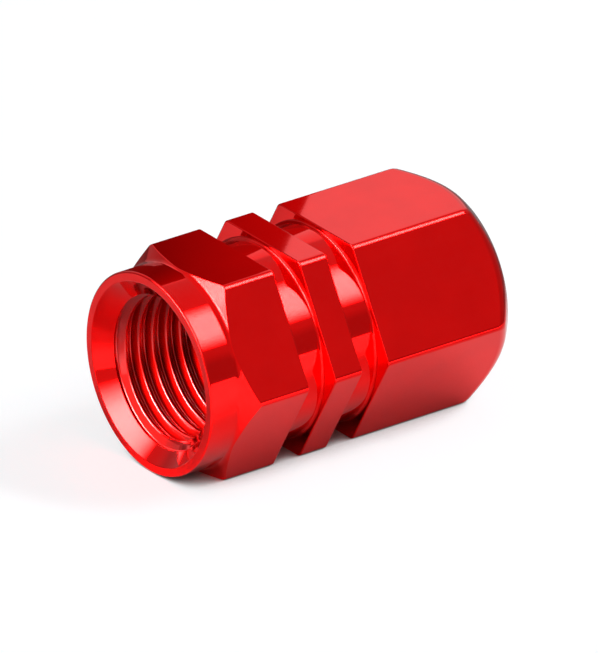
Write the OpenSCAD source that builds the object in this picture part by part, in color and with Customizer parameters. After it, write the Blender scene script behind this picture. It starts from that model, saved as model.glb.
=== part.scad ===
// Tyre valve cap turned from hexagon bar, with a rubber sealing washer inside.
// It lies on one flat, its axis along Y, with the open mouth towards -Y.

/* [Hexagon bar] */
// Width across the flats of the bar
across_flats = 10; // [9:0.1:14]
// Diameter over the six corners, which the lathe has just dulled
corner_d = 11.44; // [11:0.02:11.5]

/* [Mouth] */
// Diameter of the round collar at the mouth
collar_d = 9.9; // [9.7:0.05:9.95]
// Length of the collar, from the mouth to the hexagon's chamfer
collar_len = 1.7; // [1.4:0.1:3]
// Slope of the chamfer behind the collar, from the face of the mouth, in degrees
collar_chamfer_angle = 35; // [20:1:50]
// Radius in the corner between the collar and the chamfer
collar_fillet = 0.4; // [0.1:0.05:0.6]
// Small bevel on the outer edge of the lip
lip_bevel = 0.12; // [0.05:0.01:0.3]
// Diameter of the countersink where it meets the lip
countersink_d = 9.0; // [8.4:0.1:9.3]
// Slope of the countersink, from the face of the mouth, in degrees
countersink_angle = 45; // [35:1:60]

/* [Outside lengths] */
// Length of the lower hexagon, with its chamfer
lower_hex_len = 3.35; // [2.5:0.05:6]
// Width of each of the two grooves
groove_w = 1.5; // [0.8:0.1:2.5]
// Length of the narrow hexagon between the grooves
ring_len = 1.55; // [1:0.05:3]
// Length of the head, from its groove to the closed end
head_len = 7.75; // [6:0.05:12]
// Diameter at the bottom of the grooves
neck_d = 9.55; // [9.2:0.05:9.8]
// Radius in the inside corners of the grooves
groove_fillet = 0.15; // [0.05:0.01:0.3]

/* [Closed end] */
// Diameter of the flat face at the closed end
end_face_d = 9.3; // [7:0.1:9.6]
// Slope of the chamfer round the closed end, from its face, in degrees
end_chamfer_angle = 42; // [25:1:55]

/* [Bore] */
// Diameter of the thread's crests, which is the drilled bore
thread_minor_d = 6.95; // [6.5:0.05:7.2]
// Depth of the washer's seat, from the mouth
seat_depth = 10.2; // [8:0.1:11]
// Full angle of the drill point behind the seat, in degrees
drill_point_angle = 118; // [90:1:140]
// Diameter of the recess that holds the washer behind the thread
recess_d = 7.95; // [7.8:0.05:8.3]
// Width of the recess, from the end of the thread to the seat
recess_w = 1.5; // [1.2:0.1:2.5]

/* [Sealing washer] */
// Thickness of the rubber washer
washer_t = 1.1; // [0.6:0.1:1.2]
// Diameter of the hole through the washer
washer_hole_d = 3.2; // [2:0.1:4.5]
// Gap between the washer and the wall of its recess
washer_gap = 0.05; // [0.02:0.01:0.1]
// Radius on the washer's edges
washer_edge = 0.15; // [0.05:0.01:0.25]

/* [Hidden] */

flat_r = across_flats / 2;
corner_r = corner_d / 2;
// Every cut from outside reaches past the corners
clear_r = corner_r + 1;
// How far a cutter runs past the face that it opens
past = 1;
// How far a fillet's arc runs into the faces that it joins, to meet them cleanly
fillet_overlap = 0.001;
collar_r = collar_d / 2;
neck_r = neck_d / 2;
end_face_r = end_face_d / 2;
bore_r = thread_minor_d / 2;
countersink_r = countersink_d / 2;

// Heights above the face of the mouth, which is the lathe's zero
hex_top = collar_len + lower_hex_len;
ring_start = hex_top + groove_w;
ring_top = ring_start + ring_len;
head_start = ring_top + groove_w;
cap_len = head_start + head_len;
countersink_depth = (countersink_r - bore_r) * tan(countersink_angle);
recess_start = seat_depth - recess_w;
drill_point_len = bore_r / tan(drill_point_angle / 2);

// Small circles of the section, fine enough to be taken as true arcs
$fn = 64;

// Places a piece drawn upright on its mouth as the cap lies on its flat
module lay_down() {
    translate([0, -cap_len / 2, flat_r])
        rotate([-90, 0, 0])
            children();
}

// Half of the section that the lathe leaves, before the grooves
module turned_section() {
    chamfer_top = collar_len + (clear_r - collar_r) * tan(collar_chamfer_angle);
    end_chamfer_len = (clear_r - end_face_r) * tan(end_chamfer_angle);
    polygon([
        [0, 0],
        [collar_r - lip_bevel, 0],
        [collar_r, lip_bevel],
        [collar_r, collar_len],
        [clear_r, chamfer_top],
        [clear_r, cap_len - end_chamfer_len],
        [end_face_r, cap_len],
        [0, cap_len]
    ]);
}

// What the tool's nose leaves in the corner between the collar and the chamfer
module collar_fillet_section() {
    // Half of the angle that the fillet turns through
    half_turn = (90 - collar_chamfer_angle) / 2;
    touch = collar_fillet * tan(half_turn);
    difference() {
        polygon([
            [collar_r - collar_fillet, collar_len - touch],
            [collar_r, collar_len - touch],
            [
                collar_r + touch * cos(collar_chamfer_angle),
                collar_len + touch * sin(collar_chamfer_angle)
            ],
            [collar_r - collar_fillet, collar_len + touch]
        ]);
        translate([collar_r + collar_fillet, collar_len - touch])
            circle(r = collar_fillet + fillet_overlap);
    }
}

// Section of one groove, with a radius in each inside corner
module groove_section(start) {
    translate([neck_r + groove_fillet, start])
        square([clear_r - neck_r, groove_w]);
    translate([neck_r, start + groove_fillet])
        square([clear_r - neck_r, groove_w - 2 * groove_fillet]);
    for (height = [start + groove_fillet, start + groove_w - groove_fillet])
        translate([neck_r + groove_fillet, height])
            circle(r = groove_fillet);
}

// The outside: hexagon bar where the lathe has left it standing
module outside() {
    intersection() {
        cylinder(h = cap_len, r = flat_r / cos(30), $fn = 6);
        cylinder(h = cap_len, r = corner_r);
        rotate_extrude()
            difference() {
                union() {
                    turned_section();
                    collar_fillet_section();
                }
                groove_section(hex_top);
                groove_section(ring_top);
            }
    }
}

// The inside: countersunk mouth, tapped bore, washer recess and drill point
module bore() {
    mouth_r = countersink_r + past / tan(countersink_angle);
    translate([0, 0, -past])
        cylinder(h = seat_depth + past, r = bore_r);
    translate([0, 0, -past])
        cylinder(h = countersink_depth + past, r1 = mouth_r, r2 = bore_r);
    translate([0, 0, recess_start])
        cylinder(h = recess_w, d = recess_d);
    translate([0, 0, seat_depth])
        cylinder(h = drill_point_len, r1 = bore_r, r2 = 0);
}

// One-piece shell of anodised aluminium
module cap_shell() {
    color([0.8, 0.03, 0.02])
        lay_down()
            difference() {
                outside();
                bore();
            }
}

// Rubber washer seated against the end of its recess, held behind the thread
module seal_washer() {
    outer_r = recess_d / 2 - washer_gap;
    hole_r = washer_hole_d / 2;
    color([0.06, 0.06, 0.06])
        lay_down()
            translate([0, 0, seat_depth - washer_t])
                rotate_extrude()
                    polygon([
                        [hole_r, 0],
                        [outer_r - washer_edge, 0],
                        [outer_r, washer_edge],
                        [outer_r, washer_t - washer_edge],
                        [outer_r - washer_edge, washer_t],
                        [hole_r, washer_t]
                    ]);
}

cap_shell();
seal_washer();
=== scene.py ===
"""A hexagon tyre valve cap in red anodised aluminium, lying on one of its flats."""
import math

import bmesh
import bpy
from mathutils import Matrix, Vector


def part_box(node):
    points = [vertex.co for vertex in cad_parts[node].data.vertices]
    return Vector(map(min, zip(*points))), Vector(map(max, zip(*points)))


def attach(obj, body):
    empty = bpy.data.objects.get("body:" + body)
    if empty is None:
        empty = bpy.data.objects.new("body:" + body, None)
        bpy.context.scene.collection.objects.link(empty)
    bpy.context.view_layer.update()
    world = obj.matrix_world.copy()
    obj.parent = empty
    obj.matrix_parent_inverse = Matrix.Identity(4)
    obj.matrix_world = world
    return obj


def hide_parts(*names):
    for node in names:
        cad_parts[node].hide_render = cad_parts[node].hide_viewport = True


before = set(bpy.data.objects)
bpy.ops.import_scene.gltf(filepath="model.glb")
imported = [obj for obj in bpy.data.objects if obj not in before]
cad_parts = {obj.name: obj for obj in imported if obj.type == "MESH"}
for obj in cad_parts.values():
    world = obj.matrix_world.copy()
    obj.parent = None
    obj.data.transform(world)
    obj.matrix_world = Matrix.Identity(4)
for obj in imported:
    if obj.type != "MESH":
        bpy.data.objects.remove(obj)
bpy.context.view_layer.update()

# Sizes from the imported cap, in millimetres.
# Pieces are turned upright on the lathe's centre line in millimetres, then laid down in metres.
MM = 0.001
shell_low, shell_high = (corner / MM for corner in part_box("cap_shell"))
washer_low, washer_high = (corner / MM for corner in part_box("seal_washer"))
cap_len = shell_high.y - shell_low.y
flat_r = (shell_high.z - shell_low.z) / 2
corner_r = (shell_high.x - shell_low.x) / 2
# The bar is a hexagon, and each flat takes up twice this angle
sides = 6
half_side = math.pi / sides
# Middle of the cap in metres, at which the camera and the lamps point
middle = (shell_low + shell_high) / 2 * MM

# Mouth, with heights from its face
collar_r = 4.95
collar_len = 1.7
collar_fillet = 0.4
collar_chamfer = math.radians(35)
lip_bevel = 0.1
countersink_r = 4.5
lip_inner_bevel = 0.07
# The countersink is drawn past the thread, which then cuts through it
pocket_r = 3.2

# Grooves round the waist
hex_top = 5.05
groove_w = 1.5
ring_len = 1.55
neck_r = 4.775
groove_fillet = 0.15

# Closed end
end_face_r = 4.65
end_chamfer = math.radians(42)
end_bevel = 0.12
# The bar's surface rolls softly into the chamfer of the closed end
end_edge = 0.8

# Every outer edge is broken by this radius
edge_break = 0.07

# Thread inside, right-hand
pitch = 0.794
thread_minor_r = 3.475
thread_major_r = 3.875
crest_flat = 0.17
root_flat = 0.15
crest_edge = 0.11
root_edge = 0.1
thread_start = 0.5

# Washer's recess and the drill point behind it
seat_depth = washer_high.y - shell_low.y
recess_w = 1.5
recess_r = 3.975
recess_edge = 0.06
drill_point = math.radians(118 / 2)

# Rubber washer
washer_hole_r = 1.6
washer_r = washer_high.x
washer_edge = 0.2

# Fineness of the meshes
SHELL_COLUMNS = 360
THREAD_STEPS = 108
TOOL_STEPS = 180
FILLET_STEPS = 8
EDGE_STEPS = 4
# Points nearer than this are one point
MERGE = 1e-5


def lay_down(mesh):
    """Lays a piece drawn upright on its mouth where the cap lies, in metres."""
    turn = Matrix.Rotation(math.radians(-90), 4, "X")
    place = Matrix.Translation((0, -cap_len / 2, flat_r))
    mesh.transform(Matrix.Scale(MM, 4) @ place @ turn)


def add_object(name, mesh):
    piece = bpy.data.objects.new(name, mesh)
    bpy.context.scene.collection.objects.link(piece)
    return piece


def mesh_from(bm, name):
    bmesh.ops.remove_doubles(bm, verts=bm.verts, dist=MERGE)
    bmesh.ops.dissolve_degenerate(bm, edges=bm.edges, dist=MERGE)
    bmesh.ops.recalc_face_normals(bm, faces=bm.faces)
    for face in bm.faces:
        face.smooth = True
    mesh = bpy.data.meshes.new(name)
    bm.to_mesh(mesh)
    bm.free()
    return mesh


def sweep(centre, start, turn, steps):
    """Points of an arc about centre, from start, turned by an angle."""
    arm = start - centre
    return [centre + Matrix.Rotation(turn * i / steps, 2) @ arm for i in range(steps + 1)]


def soften(before, corner, after, radius):
    """The arc that breaks one corner of a section."""
    back = (before - corner).normalized()
    ahead = (after - corner).normalized()
    half = back.angle(ahead) / 2
    centre = corner + (back + ahead).normalized() * radius / math.sin(half)
    start = corner + back * radius / math.tan(half)
    end = corner + ahead * radius / math.tan(half)
    turn = (end - centre).angle_signed(start - centre)
    return sweep(centre, start, turn, EDGE_STEPS)


def softened(corners):
    """A section's points, from corners of radius, height and edge radius."""
    places = [Vector(corner[:2]) for corner in corners]
    points = [places[0]]
    for i in range(1, len(corners) - 1):
        if corners[i][2] > 0:
            points += soften(places[i - 1], places[i], places[i + 1], corners[i][2])
        else:
            points.append(places[i])
    return points + [places[-1]]


def bar_radius(angle):
    """Distance from the centre line to the surface of the bar, whose corners are slightly round."""
    from_corner = abs((angle + half_side) % (2 * half_side) - half_side)
    sharp_r = flat_r / math.cos(half_side)
    round_r = (sharp_r - corner_r) / (1 / math.cos(half_side) - 1)
    round_at = corner_r - round_r
    round_ends = math.atan2(round_r * math.sin(half_side), round_at + round_r * math.cos(half_side))
    if from_corner < round_ends:
        across = round_at * math.sin(from_corner)
        return round_at * math.cos(from_corner) + math.sqrt(round_r ** 2 - across ** 2)
    return flat_r / math.cos(half_side - from_corner)


def collar_to_bar(bar_r):
    """Section from the collar, up its fillet and chamfer, to where the bar's own surface begins."""
    touch = collar_fillet * math.tan((math.pi / 2 - collar_chamfer) / 2)
    centre = Vector((collar_r + collar_fillet, collar_len - touch))
    full_turn = math.pi / 2 - collar_chamfer
    start = Vector((collar_r, centre.y))
    chamfer_edge = collar_len + (bar_r - collar_r) * math.tan(collar_chamfer)
    slope = Vector((math.cos(collar_chamfer), math.sin(collar_chamfer)))
    corner = Vector((bar_r, chamfer_edge))
    above = corner + Vector((0, 1))
    edge = soften(corner - slope, corner, above, edge_break)
    if edge[0].x >= collar_r + touch * slope.x:
        return sweep(centre, start, -full_turn, FILLET_STEPS) + edge
    # Near the middle of a flat the bar's surface meets the fillet itself
    edge_centre_r = bar_r - edge_break
    across = centre.x - edge_centre_r
    reach = collar_fillet + edge_break
    edge_centre = Vector((edge_centre_r, centre.y + math.sqrt(reach ** 2 - across ** 2)))
    meet = centre + (edge_centre - centre) * collar_fillet / reach
    turn = (meet - centre).angle(start - centre)
    edge_turn = math.atan2(edge_centre.y - meet.y, meet.x - edge_centre.x)
    fillet = sweep(centre, start, -turn, FILLET_STEPS)
    return fillet + sweep(edge_centre, meet, edge_turn, EDGE_STEPS)


def shell_section(bar_r):
    """Outline of the cap on one ray from the centre line, from inside the mouth to the closed end."""
    pocket_depth = countersink_r - pocket_r
    mouth = softened([
        (0, pocket_depth, 0),
        (pocket_r, pocket_depth, 0),
        (countersink_r, 0, lip_inner_bevel),
        (collar_r, 0, lip_bevel),
        (collar_r, collar_len / 2, 0),
    ])
    ring_start = hex_top + groove_w
    ring_top = ring_start + ring_len
    head_start = ring_top + groove_w
    head_end = cap_len - (bar_r - end_face_r) * math.tan(end_chamfer)
    body = softened([
        (bar_r, hex_top - groove_w / 2, 0),
        (bar_r, hex_top, edge_break),
        (neck_r, hex_top, groove_fillet),
        (neck_r, ring_start, groove_fillet),
        (bar_r, ring_start, edge_break),
        (bar_r, ring_top, edge_break),
        (neck_r, ring_top, groove_fillet),
        (neck_r, head_start, groove_fillet),
        (bar_r, head_start, edge_break),
        (bar_r, head_end, end_edge),
        (end_face_r, cap_len, end_bevel),
        (0, cap_len, 0),
    ])
    return mouth + collar_to_bar(bar_r) + body


def column_angle(step):
    """Angle of a column of the shell, where columns crowd together at the corners of the bar."""
    crowding = 0.75
    angle = 2 * math.pi * step / SHELL_COLUMNS
    return angle - crowding * math.sin(sides * angle) / sides


def turn_section(points, steps, name):
    """Turns a section about the centre line and closes it."""
    bm = bmesh.new()
    verts = [bm.verts.new((point.x, 0, point.y)) for point in points]
    edges = [bm.edges.new(pair) for pair in zip(verts, verts[1:])]
    bmesh.ops.spin(
        bm, geom=verts + edges, cent=(0, 0, 0), axis=(0, 0, 1), angle=2 * math.pi,
        steps=steps, use_merge=True,
    )
    return mesh_from(bm, name)


def shell_outside():
    """The turned outside: the section is carried round and each column ends at the bar's own surface."""
    bm = bmesh.new()
    row = bm.verts.layers.int.new("row")
    verts = [bm.verts.new((point.x, 0, point.y)) for point in shell_section(corner_r)]
    for i, vert in enumerate(verts):
        vert[row] = i
    edges = [bm.edges.new(pair) for pair in zip(verts, verts[1:])]
    # Points on the centre line would lose their column, so they wait beside it
    aside = 0.5
    for vert in (verts[0], verts[-1]):
        vert.co.x = aside
    bmesh.ops.spin(
        bm, geom=verts + edges, cent=(0, 0, 0), axis=(0, 0, 1), angle=2 * math.pi,
        steps=SHELL_COLUMNS, use_merge=True,
    )
    angles = [column_angle(step) for step in range(SHELL_COLUMNS)]
    sections = [shell_section(bar_radius(angle)) for angle in angles]
    for vert in bm.verts:
        turned = math.atan2(vert.co.y, vert.co.x) / (2 * math.pi)
        column = round(turned * SHELL_COLUMNS) % SHELL_COLUMNS
        point = sections[column][vert[row]]
        angle = angles[column]
        vert.co = (point.x * math.cos(angle), point.x * math.sin(angle), point.y)
    return mesh_from(bm, "cap_outside")


def thread_tap():
    """The solid that cuts the thread: a core with a ridge wound round it, square at both ends."""
    depth = thread_major_r - thread_minor_r
    flank = (pitch - crest_flat - root_flat) / 2
    crest_end = crest_flat / 2
    root_start = crest_end + flank
    root_end = root_start + root_flat
    points = softened([
        (thread_minor_r, 0, 0),
        (thread_minor_r, crest_end, crest_edge),
        (thread_minor_r + depth, root_start, root_edge),
        (thread_minor_r + depth, root_end, root_edge),
        (thread_minor_r, root_end + flank, crest_edge),
        (thread_minor_r, pitch, 0),
    ])
    thread_end = seat_depth - recess_w / 2
    turns = math.ceil((thread_end - thread_start) / pitch) + 2
    bm = bmesh.new()
    base = thread_start - 1.5 * pitch
    verts = [bm.verts.new((point.x, 0, point.y + base)) for point in points]
    edges = [bm.edges.new(pair) for pair in zip(verts, verts[1:])]
    bmesh.ops.spin(
        bm, geom=verts + edges, cent=(0, 0, 0), axis=(0, 0, 1), angle=2 * math.pi,
        dvec=(0, 0, pitch / THREAD_STEPS), steps=THREAD_STEPS,
    )
    one_turn = list(bm.verts) + list(bm.edges) + list(bm.faces)
    for turn in range(1, turns):
        copied = bmesh.ops.duplicate(bm, geom=one_turn)["geom"]
        copied_verts = [item for item in copied if isinstance(item, bmesh.types.BMVert)]
        bmesh.ops.translate(bm, verts=copied_verts, vec=(0, 0, pitch * turn))
    # The end of each turn meets the start of the next within rounding
    bmesh.ops.remove_doubles(bm, verts=bm.verts, dist=10 * MERGE)
    for height, side in ((thread_start, -1), (thread_end, 1)):
        bmesh.ops.bisect_plane(
            bm, geom=list(bm.verts) + list(bm.edges) + list(bm.faces), plane_co=(0, 0, height),
            plane_no=(0, 0, side), clear_outer=True,
        )
    rims = [edge for edge in bm.edges if edge.is_boundary]
    bmesh.ops.holes_fill(bm, edges=rims, sides=0)
    return add_object("thread_tap", mesh_from(bm, "thread_tap"))


def recess_tool():
    """The solid that cuts the washer's recess and the drill point."""
    recess_start = seat_depth - recess_w
    drill_r = thread_minor_r
    points = softened([
        (0, recess_start, 0),
        (recess_r, recess_start, recess_edge),
        (recess_r, seat_depth, recess_edge),
        (drill_r, seat_depth, 0),
        (0, seat_depth + drill_r / math.tan(drill_point), 0),
    ])
    return add_object("recess_tool", turn_section(points, TOOL_STEPS, "recess_tool"))


def cut_with(piece, tool):
    cut = piece.modifiers.new(tool.name, "BOOLEAN")
    cut.operation = "DIFFERENCE"
    cut.solver = "MANIFOLD"
    cut.object = tool


def settle(piece, tools=()):
    """Makes a piece's modifiers part of its mesh and removes the tools that cut it."""
    seen = piece.evaluated_get(bpy.context.evaluated_depsgraph_get())
    mesh = bpy.data.meshes.new_from_object(seen)
    piece.modifiers.clear()
    piece.data = mesh
    for tool in tools:
        bpy.data.objects.remove(tool)


def weigh_normals(piece):
    """Keeps the flats as flat as mirrors, beside the small arcs that break their edges."""
    piece.data.set_sharp_from_angle(angle=math.radians(32))
    weigh = piece.modifiers.new("weighted_normals", "WEIGHTED_NORMAL")
    weigh.mode = "FACE_AREA"
    weigh.weight = 100
    weigh.keep_sharp = True


def new_material(name):
    material = bpy.data.materials.new(name)
    material.use_nodes = True
    return material, material.node_tree.nodes, material.node_tree.links


def map_range(nodes, links, value, low, high, to_low, to_high, smooth=False):
    """Turns a value that runs from low to high into one that runs from to_low to to_high."""
    ranged = nodes.new("ShaderNodeMapRange")
    if smooth:
        ranged.interpolation_type = "SMOOTHSTEP"
    ranged.inputs["From Min"].default_value = low
    ranged.inputs["From Max"].default_value = high
    ranged.inputs["To Min"].default_value = to_low
    ranged.inputs["To Max"].default_value = to_high
    links.new(value, ranged.inputs["Value"])
    return ranged.outputs["Result"]


def combine(nodes, links, operation, first, second):
    """The value that an operation gives for two others."""
    maths = nodes.new("ShaderNodeMath")
    maths.operation = operation
    links.new(first, maths.inputs[0])
    links.new(second, maths.inputs[1])
    return maths.outputs["Value"]


def reach_along(nodes, links, vector, towards):
    """How far a place or a direction reaches along a fixed direction."""
    reach = nodes.new("ShaderNodeVectorMath")
    reach.operation = "DOT_PRODUCT"
    reach.inputs[1].default_value = towards
    links.new(vector, reach.inputs[0])
    return reach.outputs["Value"]


def add_shaders(nodes, links, first, second):
    both = nodes.new("ShaderNodeAddShader")
    links.new(first, both.inputs[0])
    links.new(second, both.inputs[1])
    return both.outputs["Shader"]


def surface_grain(nodes, links, grain, smoothest, roughest, strength, depth):
    """Lets a grain change the gloss of the material's surface, and raise it slightly."""
    shader = nodes["Principled BSDF"]
    links.new(map_range(nodes, links, grain, 0, 1, smoothest, roughest), shader.inputs["Roughness"])
    bump = nodes.new("ShaderNodeBump")
    bump.inputs["Strength"].default_value = strength
    bump.inputs["Distance"].default_value = depth
    links.new(grain, bump.inputs["Height"])
    links.new(bump.outputs["Normal"], shader.inputs["Normal"])


def lathe_marks(nodes, links, place):
    """Marks of the lathe run round the cap, so they change along it and outwards only."""
    parts = nodes.new("ShaderNodeSeparateXYZ")
    links.new(place, parts.inputs["Vector"])
    across = nodes.new("ShaderNodeCombineXYZ")
    links.new(parts.outputs["X"], across.inputs["X"])
    links.new(parts.outputs["Z"], across.inputs["Z"])
    outwards = nodes.new("ShaderNodeVectorMath")
    outwards.operation = "LENGTH"
    links.new(across.outputs["Vector"], outwards.inputs[0])
    along = nodes.new("ShaderNodeMath")
    along.operation = "MULTIPLY_ADD"
    along.inputs[1].default_value = 0.6
    links.new(outwards.outputs["Value"], along.inputs[0])
    links.new(parts.outputs["Y"], along.inputs[2])
    marks = nodes.new("ShaderNodeTexNoise")
    marks.noise_dimensions = "1D"
    marks.inputs["Scale"].default_value = 9000
    marks.inputs["Detail"].default_value = 3
    links.new(along.outputs["Value"], marks.inputs["W"])
    return marks.outputs["Fac"]


def die_marks(nodes, links, place):
    """Marks of the drawing die run along the bar."""
    drawn = nodes.new("ShaderNodeMapping")
    drawn.inputs["Scale"].default_value = (1, 0.015, 1)
    links.new(place, drawn.inputs["Vector"])
    marks = nodes.new("ShaderNodeTexNoise")
    marks.inputs["Scale"].default_value = 7000
    marks.inputs["Detail"].default_value = 3
    links.new(drawn.outputs["Vector"], marks.inputs["Vector"])
    return marks.outputs["Fac"]


def anodised(name, tool_marks, smoothest, roughest, deep_red=0.88, pale_red=0.95, coat=0.15):
    """Bright aluminium with a dyed red coat, over the fine marks of its tools."""
    material, nodes, links = new_material(name)
    shader = nodes["Principled BSDF"]
    shader.inputs["Metallic"].default_value = 1.0
    shader.inputs["Coat Weight"].default_value = coat
    shader.inputs["Coat Roughness"].default_value = 0.03
    shader.inputs["Coat IOR"].default_value = 1.5

    place = nodes.new("ShaderNodeTexCoord")
    centred = nodes.new("ShaderNodeMapping")
    centred.inputs["Location"].default_value = (0, 0, -flat_r * MM)
    links.new(place.outputs["Object"], centred.inputs["Vector"])

    # The dye is a little deeper in some places than in others
    dye = nodes.new("ShaderNodeTexNoise")
    dye.inputs["Scale"].default_value = 350
    dye.inputs["Detail"].default_value = 2
    links.new(centred.outputs["Vector"], dye.inputs["Vector"])
    reds = nodes.new("ShaderNodeValToRGB")
    reds.color_ramp.elements[0].position = 0.35
    reds.color_ramp.elements[0].color = (deep_red, 0.0006, 0.0004, 1)
    reds.color_ramp.elements[1].position = 0.65
    reds.color_ramp.elements[1].color = (pale_red, 0.0012, 0.0008, 1)
    links.new(dye.outputs["Fac"], reds.inputs["Fac"])
    links.new(reds.outputs["Color"], shader.inputs["Base Color"])

    marks = tool_marks(nodes, links, centred.outputs["Vector"])
    surface_grain(nodes, links, marks, smoothest, roughest, strength=0.15, depth=0.000002)
    return material


def washer_rubber():
    """Black rubber, matt, with the grain of its mould."""
    material, nodes, links = new_material("washer_rubber")
    shader = nodes["Principled BSDF"]
    shader.inputs["Specular IOR Level"].default_value = 0.4
    place = nodes.new("ShaderNodeTexCoord")
    grain = nodes.new("ShaderNodeTexNoise")
    grain.inputs["Scale"].default_value = 6000
    grain.inputs["Detail"].default_value = 4
    links.new(place.outputs["Object"], grain.inputs["Vector"])
    tone = nodes.new("ShaderNodeValToRGB")
    tone.color_ramp.elements[0].color = (0.014, 0.014, 0.015, 1)
    tone.color_ramp.elements[1].color = (0.035, 0.034, 0.034, 1)
    links.new(grain.outputs["Fac"], tone.inputs["Fac"])
    links.new(tone.outputs["Color"], shader.inputs["Base Color"])
    surface_grain(nodes, links, grain.outputs["Fac"], 0.5, 0.75, strength=0.4, depth=0.00001)
    return material


def paint_shell(mesh):
    """Gives the turned surfaces, the drawn flats of the bar and the tapped bore their own finish, and
    the bore a darker red that is painted shade.
    """
    mesh.materials.clear()
    mesh.materials.append(anodised("anodised_turned", lathe_marks, smoothest=0.05, roughest=0.09))
    mesh.materials.append(anodised("anodised_drawn", die_marks, smoothest=0.05, roughest=0.09))
    # Painted shade: the bore's reds are darker than the outside's, for the shade in its recess; its
    # rougher surface is the real finish of the cut thread
    tapped = anodised(
        "anodised_tapped_with_painted_shade", lathe_marks, smoothest=0.3, roughest=0.4,
        deep_red=0.31, pale_red=0.37, coat=0.65,
    )
    mesh.materials.append(tapped)
    margin = 0.02
    # The drill point ends further than this from the closed end
    end_wall = 1
    for face in mesh.polygons:
        outwards = math.hypot(face.center.x, face.center.y)
        height = face.center.z
        past_countersink = outwards > countersink_r + margin - height
        in_bore = past_countersink and outwards < recess_r + margin and height < cap_len - end_wall
        if abs(face.normal.z) < margin and outwards > flat_r - margin:
            face.material_index = 1
        elif in_bore:
            face.material_index = 2
        else:
            face.material_index = 0


def cap_shell():
    shell = add_object("anodised_shell", shell_outside())
    tools = [thread_tap(), recess_tool()]
    for tool in tools:
        cut_with(shell, tool)
    settle(shell, tools)
    weigh_normals(shell)
    settle(shell)
    paint_shell(shell.data)
    lay_down(shell.data)
    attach(shell, "root")
    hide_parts("cap_shell")
    return shell


def rubber_washer():
    """A moulded ring, seated against the end of its recess."""
    thickness = washer_high.y - washer_low.y
    top = seat_depth
    low = top - thickness
    points = softened([
        (washer_hole_r, (low + top) / 2, 0),
        (washer_hole_r, low, washer_edge / 2),
        (washer_r, low, washer_edge),
        (washer_r, top, washer_edge),
        (washer_hole_r, top, washer_edge / 2),
        (washer_hole_r, (low + top) / 2, 0),
    ])
    mesh = turn_section(points, TOOL_STEPS, "rubber_washer")
    mesh.materials.append(washer_rubber())
    washer = add_object("rubber_washer", mesh)
    lay_down(mesh)
    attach(washer, "root")
    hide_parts("seal_washer")
    return washer


def direction(azimuth, elevation):
    """Unit vector for a compass angle from the mouth's side towards +X, and an angle above the floor."""
    a, e = math.radians(azimuth), math.radians(elevation)
    return Vector((math.sin(a) * math.cos(e), -math.cos(a) * math.cos(e), math.sin(e)))


def softbox(name, towards, along, width, height, radiance, soft_ends, soft_sides, distance=0.7):
    """A rectangular lamp of the studio: where it stands, the way its width runs, its angles as seen
    from the cap, and the share of its width and height over which each edge fades."""
    lamp = bpy.data.lights.new(name, "AREA")
    lamp.shape = "RECTANGLE"
    lamp.size = 2 * distance * math.tan(math.radians(width) / 2)
    lamp.size_y = 2 * distance * math.tan(math.radians(height) / 2)
    lamp.energy = radiance * math.pi * lamp.size * lamp.size_y
    lamp.use_nodes = True
    nodes = lamp.node_tree.nodes
    links = lamp.node_tree.links
    place = nodes.new("ShaderNodeNewGeometry")
    parts = nodes.new("ShaderNodeSeparateXYZ")
    links.new(place.outputs["Parametric"], parts.inputs["Vector"])
    both = nodes.new("ShaderNodeMath")
    both.operation = "MULTIPLY"
    for i, (axis, softness) in enumerate((("X", soft_ends), ("Y", soft_sides))):
        from_edge = nodes.new("ShaderNodeMath")
        from_edge.operation = "PINGPONG"
        from_edge.inputs[1].default_value = 0.5
        links.new(parts.outputs[axis], from_edge.inputs[0])
        fade = map_range(nodes, links, from_edge.outputs["Value"], 0, softness, 0, 1, smooth=True)
        links.new(fade, both.inputs[i])
    links.new(both.outputs["Value"], nodes["Emission"].inputs["Strength"])
    across = towards.cross(along).normalized()
    box = bpy.data.objects.new(name, lamp)
    box.matrix_world = Matrix.LocRotScale(
        middle + towards * distance,
        Matrix((across.cross(towards), across, towards)).transposed().to_quaternion(),
        None,
    )
    box.visible_camera = False
    bpy.context.scene.collection.objects.link(box)
    return box


def softboxes():
    """The key lamp behind the cap, and two reflectors that only the polished metal shows."""
    up = Vector((0, 0, 1))
    # The key strip follows the circle of directions that the turned surfaces mirror to the camera
    ring_outwards = 0.838
    ring_along = 0.545
    ring_angle = math.radians(61)
    spoke = Vector((math.cos(ring_angle), 0, math.sin(ring_angle)))
    strip = (spoke * ring_outwards + Vector((0, ring_along, 0))).normalized()
    strip_along = Vector((-math.sin(ring_angle), 0, math.cos(ring_angle)))
    softbox(
        "key_strip", strip, strip_along, width=43, height=10, radiance=33, soft_ends=0.35, soft_sides=0.2
    )
    front = direction(-6, 33)
    front_along = Matrix.Rotation(math.radians(-14), 3, front) @ up.cross(front)
    front_card = softbox(
        "front_reflector", front, front_along, width=81, height=35, radiance=80,
        soft_ends=0.5, soft_sides=0.42,
    )
    front_card.visible_diffuse = False
    back = direction(-127, 25)
    back_card = softbox(
        "back_reflector", back, up.cross(back), width=48, height=40, radiance=0.36,
        soft_ends=0.1, soft_sides=0.1,
    )
    back_card.visible_diffuse = False


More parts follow.
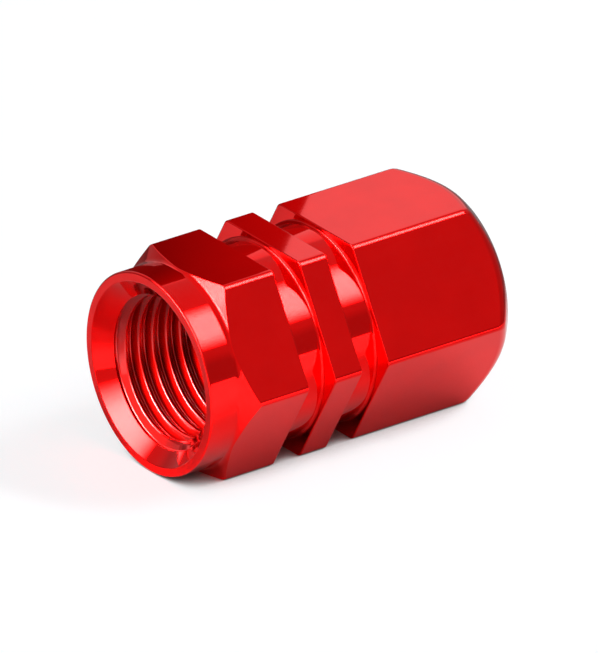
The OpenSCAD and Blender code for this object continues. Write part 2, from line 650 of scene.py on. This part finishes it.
def dark_card():
    """A dark red card that stands beside the cap. Only the polished metal shows it."""
    # Corners along the cap and above the floor, in millimetres
    corners = ((-3, 0), (9, 0), (9.5, 15.4), (7.4, 19), (6.5, 26), (-0.5, 26), (-0.5, 18), (-3, 14))
    beside = -12
    bm = bmesh.new()
    bm.faces.new([bm.verts.new((beside * MM, y * MM, z * MM)) for y, z in corners])
    mesh = bpy.data.meshes.new("dark_card")
    bm.to_mesh(mesh)
    bm.free()
    material, nodes, links = new_material("dark_card")
    nodes.clear()
    place = nodes.new("ShaderNodeTexCoord")
    parts = nodes.new("ShaderNodeSeparateXYZ")
    links.new(place.outputs["Object"], parts.inputs["Vector"])
    brightness = map_range(nodes, links, parts.outputs["Y"], 0, 12 * MM, 0.2, 0.65)
    glow = nodes.new("ShaderNodeEmission")
    glow.inputs["Color"].default_value = (1, 0.03, 0.03, 1)
    links.new(brightness, glow.inputs["Strength"])
    output = nodes.new("ShaderNodeOutputMaterial")
    links.new(glow.outputs["Emission"], output.inputs["Surface"])
    mesh.materials.append(material)
    card = add_object("dark_card", mesh)
    card.visible_camera = False
    card.visible_diffuse = False
    card.visible_transmission = False
    card.visible_shadow = False


def ray_switches(nodes, links):
    """Two values: one for what polished or clear surfaces show, and one for what the camera sees."""
    rays = nodes.new("ShaderNodeLightPath")
    glossy = rays.outputs["Is Glossy Ray"]
    clear = rays.outputs["Is Transmission Ray"]
    mirrored = combine(nodes, links, "MAXIMUM", glossy, clear)
    return mirrored, rays.outputs["Is Camera Ray"]


def room_tones(nodes, links, towards):
    """Greys that the metal mirrors: paler higher up, and on the wall in front of the mouth."""
    parts = nodes.new("ShaderNodeSeparateXYZ")
    links.new(towards, parts.inputs["Vector"])
    zones = nodes.new("ShaderNodeValToRGB")
    ramp = zones.color_ramp
    ramp.elements[0].position = 0.0
    ramp.elements[0].color = (0.4, 0.4, 0.4, 1)
    ramp.elements[1].position = 1.0
    ramp.elements[1].color = (0.85, 0.85, 0.85, 1)
    for height, level in ((0.3, 0.42), (0.42, 0.6), (0.7, 0.66)):
        zone = ramp.elements.new(height)
        zone.color = (level, level, level, 1)
    links.new(parts.outputs["Z"], zones.inputs["Fac"])
    facing = reach_along(nodes, links, towards, direction(32, 0))
    front_wall = map_range(nodes, links, facing, 0.5, 0.95, 0, 0.28, smooth=True)
    walls = nodes.new("ShaderNodeMix")
    walls.data_type = "RGBA"
    walls.blend_type = "ADD"
    walls.inputs["Factor"].default_value = 1
    links.new(zones.outputs["Color"], walls.inputs["A"])
    links.new(front_wall, walls.inputs["B"])
    return walls.outputs["Result"]


def studio_world():
    """A pale room: white to the camera, and softer zones of light in what the metal mirrors."""
    world = bpy.data.worlds.new("studio")
    bpy.context.scene.world = world
    world.use_nodes = True
    nodes = world.node_tree.nodes
    links = world.node_tree.links
    nodes.clear()
    place = nodes.new("ShaderNodeTexCoord")
    towards = place.outputs["Generated"]
    mirrored, seen_by_camera = ray_switches(nodes, links)

    # Most of the soft light falls from the front
    from_front = reach_along(nodes, links, towards, direction(0, 40))
    room = nodes.new("ShaderNodeBackground")
    links.new(map_range(nodes, links, from_front, -1, 1, 0, 0.9), room.inputs["Strength"])
    seen = nodes.new("ShaderNodeBackground")
    links.new(room_tones(nodes, links, towards), seen.inputs["Color"])
    white = nodes.new("ShaderNodeBackground")
    white.inputs["Color"].default_value = (1, 1, 1, 1)
    mix_mirrored = nodes.new("ShaderNodeMixShader")
    mix_camera = nodes.new("ShaderNodeMixShader")
    output = nodes.new("ShaderNodeOutputWorld")
    links.new(mirrored, mix_mirrored.inputs["Fac"])
    links.new(room.outputs["Background"], mix_mirrored.inputs[1])
    links.new(seen.outputs["Background"], mix_mirrored.inputs[2])
    links.new(seen_by_camera, mix_camera.inputs["Fac"])
    links.new(mix_mirrored.outputs["Shader"], mix_camera.inputs[1])
    links.new(white.outputs["Background"], mix_camera.inputs[2])
    links.new(mix_camera.outputs["Shader"], output.inputs["Surface"])


def paper_with_painted_light(nodes, links, openness, mirrored):
    """The paper lit by the lamps, darkened by painted shade near and behind the cap, with a painted
    patch of bright light on its open side that only the metal shows.
    """
    # Painted shade: the paper's colour is made darker where the cap closes round it, and further behind
    # the cap
    under = map_range(nodes, links, openness, 0.2, 0.75, 0.33, 0.75)
    place = nodes.new("ShaderNodeTexCoord")
    across = reach_along(nodes, links, place.outputs["Object"], direction(60, 0))
    behind = map_range(nodes, links, across, -18 * MM, -8 * MM, 0.3, 1, smooth=True)
    shaded = nodes.new("ShaderNodeBsdfDiffuse")
    links.new(combine(nodes, links, "MULTIPLY", under, behind), shaded.inputs["Color"])
    # Painted light: a bright patch glows on the paper on the cap's open side, and only the metal shows
    # it
    painted_light_pool = map_range(nodes, links, across, 8.5 * MM, 17 * MM, 0, 1.5, smooth=True)
    painted_light_glow = nodes.new("ShaderNodeEmission")
    links.new(combine(nodes, links, "MULTIPLY", painted_light_pool, mirrored), painted_light_glow.inputs["Strength"])
    return add_shaders(nodes, links, shaded.outputs["BSDF"], painted_light_glow.outputs["Emission"])


def paper_to_camera(nodes, links):
    """The paper lit up to white, with the cap's shadow on it."""
    glow = nodes.new("ShaderNodeEmission")
    glow.inputs["Color"].default_value = (0.98, 1, 1.01, 1)
    glow.inputs["Strength"].default_value = 0.78
    shade = nodes.new("ShaderNodeBsdfDiffuse")
    shade.inputs["Color"].default_value = (0.235, 0.25, 0.26, 1)
    return add_shaders(nodes, links, shade.outputs["BSDF"], glow.outputs["Emission"])


def floor_material():
    """White paper. The camera sees it lit up, and only in narrow gaps in its real shade, darkened
    further by painted shade.
    """
    material, nodes, links = new_material("white_floor")
    nodes.clear()
    # How open the paper is round the cap: the mask of its painted shade, and of where the camera sees
    # that shade
    gaps = nodes.new("ShaderNodeAmbientOcclusion")
    gaps.samples = 16
    gaps.inputs["Distance"].default_value = 5 * MM
    openness = gaps.outputs["AO"]
    mirrored, seen_by_camera = ray_switches(nodes, links)
    out_of_gaps = map_range(nodes, links, openness, 0.1, 0.4, 0, 1, smooth=True)
    lit_up = combine(nodes, links, "MULTIPLY", seen_by_camera, out_of_gaps)
    both = nodes.new("ShaderNodeMixShader")
    output = nodes.new("ShaderNodeOutputMaterial")
    links.new(lit_up, both.inputs["Fac"])
    links.new(paper_with_painted_light(nodes, links, openness, mirrored), both.inputs[1])
    links.new(paper_to_camera(nodes, links), both.inputs[2])
    links.new(both.outputs["Shader"], output.inputs["Surface"])
    return material


def floor():
    half = 3
    bm = bmesh.new()
    bmesh.ops.create_grid(bm, x_segments=1, y_segments=1, size=half)
    mesh = bpy.data.meshes.new("floor")
    bm.to_mesh(mesh)
    bm.free()
    mesh.materials.append(floor_material())
    add_object("floor", mesh)


def camera():
    """Looks at the mouth's side from the photo's angle, through a long lens."""
    towards = direction(53.5, 25.6)
    distance = 1.0
    lens = bpy.data.cameras.new("camera")
    lens.sensor_width = 36
    lens.lens = 1185
    lens.clip_start = 0.01
    lens.clip_end = 20
    eye = bpy.data.objects.new("camera", lens)
    eye.location = middle + towards * distance
    eye.rotation_euler = towards.to_track_quat("Z", "Y").to_euler()
    bpy.context.scene.collection.objects.link(eye)
    bpy.context.scene.camera = eye


camera()
cap_shell()
rubber_washer()
floor()
studio_world()
softboxes()
dark_card()

bpy.context.scene.view_settings.view_transform = "Standard"
